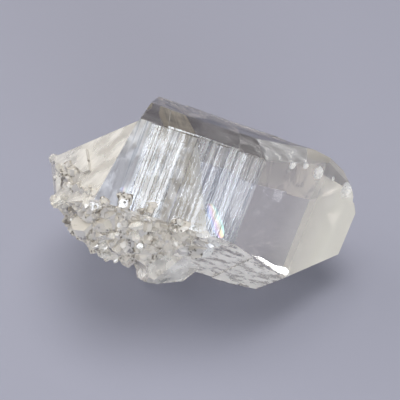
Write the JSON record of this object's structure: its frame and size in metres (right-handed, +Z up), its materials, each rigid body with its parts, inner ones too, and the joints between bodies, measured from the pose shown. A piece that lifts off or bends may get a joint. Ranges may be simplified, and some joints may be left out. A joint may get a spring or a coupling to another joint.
{
  "type": "quartz crystal",
  "caption": "Clear quartz crystal point, six-sided and broken at one end, lying on its side with a crust of small crystals under its front.",
  "frame": {"origin": "on the surface it rests on, under the middle of its bounding box", "axes": "+X towards the pointed end, +Y away from the crusted front side, +Z up"},
  "size_m": [0.0692, 0.0404, 0.0567],
  "materials": {
    "clear_quartz": "clear with glassy faces"
  },
  "bodies": {
    "root": {"quartz_crystal": "clear_quartz"}
  },
  "joints": []
}
